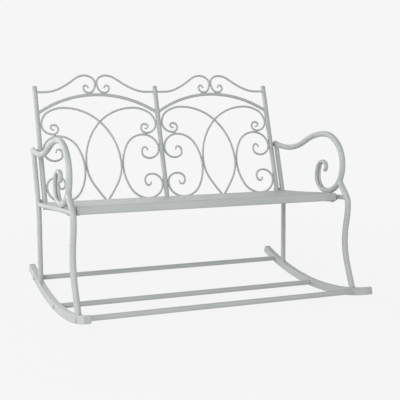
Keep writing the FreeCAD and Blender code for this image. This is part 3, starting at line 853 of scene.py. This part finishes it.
def carryOver(node):
    bm = bmesh.new()
    bm.from_mesh(nodes[node].data)
    bmesh.ops.remove_doubles(bm, verts=bm.verts, dist=carrySizes["mergeDistance"])
    softness = max((width for words, width in edgeSoftness.items() if words in node), default=0.0)
    if softness > 0:
        flatTurn = radians(carrySizes["flatTurn"])
        bmesh.ops.dissolve_limit(bm, angle_limit=flatTurn, verts=bm.verts, edges=bm.edges)
    piece = finishPiece(node + "_finish", bm, node, slot=slotOfNode[node], sharp=carrySizes["sharpTurn"])
    if softness > 0:
        softenEdges(piece, softness)


replaced = {node for piece in bpy.data.objects for node in piece.get("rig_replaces", [])}
for node in nodes:
    if node not in replaced:
        carryOver(node)
print("other pieces carried over")


# Weld runs: short beads where two bars touch, and beads all round where one bar ends on another

weldSizes = {
    "tubeBead": 0.0050,
    "barBead": 0.0030,
    "beadSegments": 8,
    "ripple": 0.13,             # how much the bead swells and shrinks along its run
    "rippleTurn": 2.3,
    "inset": 0.95,              # share of a bar's half width at which its bead lies
    "standOff": 0.12,           # how far the bead's middle stays off, in widths of the bead
    "reach": 0.045,             # how far before and past a bar's end its bead is looked for
    "leastHits": 0.8,           # share of the outline that has to meet the other piece
    "tubeSteps": 26,            # points of a bead all round
    "archSteps": 20,
    "scrollSteps": 16,
    "railSteps": 32,
    "railSquareness": 9.0,
    "loopTack": 0.130,          # share of the bay where a crossing rod meets a side scroll's end
    "bulgeTack": 0.697,         # share of the height where their bulges meet
    "tack": 0.011,              # length of a bead between two scrolls
    "tackDepth": 0.0027,        # how far in front of the bars' middle it lies, or behind it
    "tackSteps": 8,
    "armRun": 0.030,            # length of the two beads between an arm and its side rail
    "armRunShift": 0.002,       # how far in front of the arm's lowest point their middle is
    "armRunAside": 0.0048,
}


def layBead(bm, points, width, closed):
    count = len(points)
    loops = []
    for index, point in enumerate(points):
        ahead = points[(index + 1) % count] if closed else points[min(index + 1, count - 1)]
        behind = points[index - 1] if closed else points[max(index - 1, 0)]
        size = width / 2 * (1 + weldSizes["ripple"] * sin(weldSizes["rippleTurn"] * index))
        if not closed:
            size *= sqrt(sin(pi * (index + 0.5) / count))
        turned = (ahead - behind).to_track_quat("Z", "X").to_matrix().to_4x4()
        place = Matrix.Translation(point) @ turned
        made = bmesh.ops.create_circle(bm, segments=weldSizes["beadSegments"], radius=size, matrix=place)
        loops.append(ringEdges(made["verts"]))
    for first, second in zip(loops, loops[1:]):
        bmesh.ops.bridge_loops(bm, edges=first + second)
    if closed:
        bmesh.ops.bridge_loops(bm, edges=loops[-1] + loops[0])
    else:
        bmesh.ops.contextual_create(bm, geom=loops[0])
        bmesh.ops.contextual_create(bm, geom=loops[-1])


def surfaceOf(name):
    mesh = bpy.data.objects[name].data
    points = [vert.co.copy() for vert in mesh.vertices]
    return BVHTree.FromPolygons(points, [face.vertices[:] for face in mesh.polygons])


def weldAround(bm, target, place, station, section, bead):
    # Follows the outline of a bar's end along its heading to where it meets the target
    size, squareness, count = section
    across, up, heading = station
    ending = place @ stopMatrix(Vector((across, 0, up)), radians(heading))
    direction = (ending.to_3x3() @ Vector((0, 0, 1))).normalized()
    points = []
    for index in range(count):
        angle = 2 * pi * index / count
        fullness = abs(cos(angle)) ** squareness + abs(sin(angle)) ** squareness
        out = weldSizes["inset"] * size / 2 * fullness ** (-1 / squareness)
        start = ending @ Vector((cos(angle) * out, sin(angle) * out, -weldSizes["reach"]))
        hit = target.ray_cast(start, direction, 2 * weldSizes["reach"])[0]
        if hit is not None:
            points.append(hit - direction * bead * weldSizes["standOff"])
    if len(points) > count * weldSizes["leastHits"]:
        layBead(bm, points, bead, True)
    else:
        print("no weld run at", across, up)


def weldTack(bm, place, station, aside=weldSizes["tackDepth"], length=weldSizes["tack"]):
    # Two beads, in front of the touching bars and behind them
    across, up, heading = station
    run = headingVector(radians(heading)) * length
    steps = weldSizes["tackSteps"]
    for depth in (-aside, aside):
        middle = Vector((across, depth, up))
        points = [place @ (middle + run * (step / steps - 0.5)) for step in range(steps + 1)]
        layBead(bm, points, weldSizes["barBead"], False)


def turnedBack(station):
    across, up, heading = station
    return across, up, heading + 180


def weldSide(bm, side, place):
    arm, rear, front = (surfaceOf(part + side + "_tube") for part in ("arm_", "rear_leg_", "front_leg_"))
    rocker = surfaceOf("rocker_" + side + "_finish")
    rearWidth, frontWidth = sideSizes["rearLegDiameter"], sideSizes["frontLegDiameter"]
    railWidth = sideSizes["sideRailDiameter"]
    meetings = (
        (arm, rearLeg[-1], rearWidth),
        (rocker, turnedBack(rearLeg[0]), rearWidth),
        (arm, turnedBack(frontLeg[0]), frontWidth),
        (rocker, frontLeg[-1], frontWidth),
        (rear, sideRail[1], railWidth),
        (front, turnedBack(sideRail[0]), railWidth),
    )
    for target, station, width in meetings:
        section = (width, circular, weldSizes["tubeSteps"])
        weldAround(bm, target, place, station, section, weldSizes["tubeBead"])
    armBottom = armTube[-1][0]
    railTop = railStation(armBottom)[1] + railWidth / 2
    armRun = (armBottom - weldSizes["armRunShift"], railTop, bench["sideRail"][2])
    weldTack(bm, place, armRun, weldSizes["armRunAside"], weldSizes["armRun"])


def weldHalfBay(bm, bayIndex, mirrored):
    # One half of a bay, from a post to the bay's middle
    post = surfaceOf("post_" + postNames[bayIndex + (1 if mirrored else 0)] + "_tube")
    bottomRail = surfaceOf("bottom_rail_" + bayNames[bayIndex] + "_finish")
    place = inBay(bayIndex, mirrored=mirrored)
    railMiddle = -backHeight - bench["railSize"] / 2
    archEnding = (backSizes["archBar"], backSizes["archSquareness"], weldSizes["archSteps"])
    railEnding = (bench["railSize"], weldSizes["railSquareness"], weldSizes["railSteps"])
    scrollEnding = (frameBar, backSizes["scrollSquareness"], weldSizes["scrollSteps"])
    bead = weldSizes["barBead"]
    weldAround(bm, post, place, (postHalf, archEnd, archHeading + 180), archEnding, bead)
    weldAround(bm, post, place, (postHalf, -backSizes["crestJoint"], 180), scrollEnding, bead)
    weldAround(bm, post, place, (postHalf, railMiddle, 180), railEnding, bead)
    scrollHalf = frameBar / 2
    footPlace = inBay(bayIndex, scrollHalf if mirrored else -scrollHalf, mirrored)
    weldAround(bm, bottomRail, footPlace, turnedBack(crossingStations()[0]), scrollEnding, bead)
    weldTack(bm, footPlace, (postHalf, -backSizes["crossingTouch"] * backHeight, 90))
    scrollUp = backSizes["sideScrollTouch"] * sideReach - sideMiddle
    loopSide = (1 - backSizes["crossingBulge"]) * bay - scrollHalf
    archTouch = -archDown(backSizes["crestFoot"] * bay) + backSizes["archBar"] / 2
    tacks = (
        (postHalf, scrollUp, 90),
        (postHalf, -2 * sideMiddle - scrollUp, 90),
        (weldSizes["loopTack"] * bay, sideReach - sideMiddle + scrollHalf, 0),
        ((1 - backSizes["sideScrollEnd"]) * bay, -backHeight, 0),
        (loopSide, -weldSizes["bulgeTack"] * backHeight, 90),
        (backSizes["crestFoot"] * bay, archTouch, 4),
    )
    for station in tacks:
        weldTack(bm, place, station)


welds = bmesh.new()
for side, place in sidePlaces.items():
    weldSide(welds, side, place)
for bayIndex in range(len(bayNames)):
    weldHalfBay(welds, bayIndex, False)
    weldHalfBay(welds, bayIndex, True)
    crestMeeting = (halfSpan, backSizes["crestNeck"] * backSizes["crestHeight"], 90)
    weldTack(welds, inBay(bayIndex), crestMeeting)
finishPiece("weld_runs", welds, material=weldPaint, sharp=60)
print("welds made")


# Floor, light and camera

studio = {
    "backdrop": 0.922,          # shows as the photograph's pale ground
    "floorRadius": 40.0,
    "floorColour": 0.86,
    "floorShade": 0.04,         # share of real shade on the floor near the bench
    "shadeReach": (0.9, 2.2),   # metres from the middle over which that share fades out
    "worldLight": 0.32,
    "aim": (0, 0, 0.45),        # what the lamps point at
    "lamps": {                  # place, watts, width
        "frontLamp": ((-2.4, -3.9, 2.2), 123.0, 2.5),
        "leftLamp": ((-4.4, -0.9, 1.8), 36.0, 2.5),
        "rightLamp": ((3.6, -2.4, 2.4), 24.0, 2.5),
        "leftRearLamp": ((-3.4, 2.6, 1.8), 104.0, 2.5),
        "rearLamp": ((0.5, 3.8, 1.6), 20.0, 3.0),
    },
}


def emptyTree(holder):
    holder.use_nodes = True
    holder.node_tree.nodes.clear()
    return holder.node_tree


def greyShader(tree, kind, level):
    shader = tree.nodes.new(kind)
    shader.inputs["Color"].default_value = (level, level, level, 1)
    return shader


def mixShaders(tree, amount, first, second):
    mix = tree.nodes.new("ShaderNodeMixShader")
    tree.links.new(amount, mix.inputs["Fac"])
    tree.links.new(first.outputs[0], mix.inputs[1])
    tree.links.new(second.outputs[0], mix.inputs[2])
    return mix


def seenDirectly(tree):
    path = tree.nodes.new("ShaderNodeLightPath")
    seen = path.outputs["Is Camera Ray"]
    for ray in ("Is Glossy Ray", "Is Transmission Ray"):
        either = tree.nodes.new("ShaderNodeMath")
        either.operation = "MAXIMUM"
        tree.links.new(seen, either.inputs[0])
        tree.links.new(path.outputs[ray], either.inputs[1])
        seen = either.outputs[0]
    return seen


def paleFloor():
    # Lights the bench as a matt floor does, and shows as the backdrop with a little of its shade
    material = bpy.data.materials.new("paleFloor")
    tree = emptyTree(material)
    shade = greyShader(tree, "ShaderNodeBsdfDiffuse", studio["floorColour"])
    glow = greyShader(tree, "ShaderNodeEmission", studio["backdrop"])
    place = tree.nodes.new("ShaderNodeTexCoord")
    far = tree.nodes.new("ShaderNodeVectorMath")
    far.operation = "LENGTH"
    tree.links.new(place.outputs["Object"], far.inputs[0])
    fade = addRange(tree, far.outputs["Value"], studio["shadeReach"], (studio["floorShade"], 0))
    fade.interpolation_type = "SMOOTHSTEP"
    blend = mixShaders(tree, fade.outputs["Result"], glow, shade)
    shown = mixShaders(tree, seenDirectly(tree), shade, blend)
    output = tree.nodes.new("ShaderNodeOutputMaterial")
    tree.links.new(shown.outputs[0], output.inputs["Surface"])
    return material


def makeFloor():
    bm = bmesh.new()
    bmesh.ops.create_circle(bm, cap_ends=True, segments=96, radius=studio["floorRadius"])
    mesh = bpy.data.meshes.new("floor")
    bm.to_mesh(mesh)
    bm.free()
    mesh.materials.append(paleFloor())
    floor = bpy.data.objects.new("floor", mesh)
    bpy.context.scene.collection.objects.link(floor)


def makeWorld():
    world = bpy.data.worlds.new("studioAir")
    bpy.context.scene.world = world
    tree = emptyTree(world)
    light = greyShader(tree, "ShaderNodeBackground", 1.0)
    light.inputs["Strength"].default_value = studio["worldLight"]
    seen = greyShader(tree, "ShaderNodeBackground", studio["backdrop"])
    shown = mixShaders(tree, seenDirectly(tree), light, seen)
    output = tree.nodes.new("ShaderNodeOutputWorld")
    tree.links.new(shown.outputs[0], output.inputs["Surface"])


def makeLamp(name, place, power, size):
    lamp = bpy.data.lights.new(name, "AREA")
    lamp.shape = "DISK"
    lamp.size = size
    lamp.energy = power
    holder = bpy.data.objects.new(name, lamp)
    holder.location = place
    aim = Vector(studio["aim"]) - Vector(place)
    holder.rotation_euler = aim.to_track_quat("-Z", "Y").to_euler()
    bpy.context.scene.collection.objects.link(holder)


cameraView = {
    "place": (-1.45134, -3.52434, 1.19887),     # worked out from the photograph's parallel lines
    "turn": (78.5447, -1.7285, -22.6356),       # degrees
    "lensInPixels": 900,
    "pixelsAcross": 400,
    "sensorWidth": 36.0,
}


def makeCamera():
    lens = bpy.data.cameras.new("photoLens")
    lens.sensor_fit = "HORIZONTAL"
    lens.sensor_width = cameraView["sensorWidth"]
    lens.lens = cameraView["sensorWidth"] * cameraView["lensInPixels"] / cameraView["pixelsAcross"]
    camera = bpy.data.objects.new("photoCamera", lens)
    camera.location = cameraView["place"]
    camera.rotation_euler = Euler([radians(turn) for turn in cameraView["turn"]], "XYZ")
    bpy.context.scene.collection.objects.link(camera)
    bpy.context.scene.camera = camera


makeFloor()
makeWorld()
for name, (place, power, size) in studio["lamps"].items():
    makeLamp(name, place, power, size)
makeCamera()
bpy.context.scene.view_settings.view_transform = "Standard"
print("studio ready")
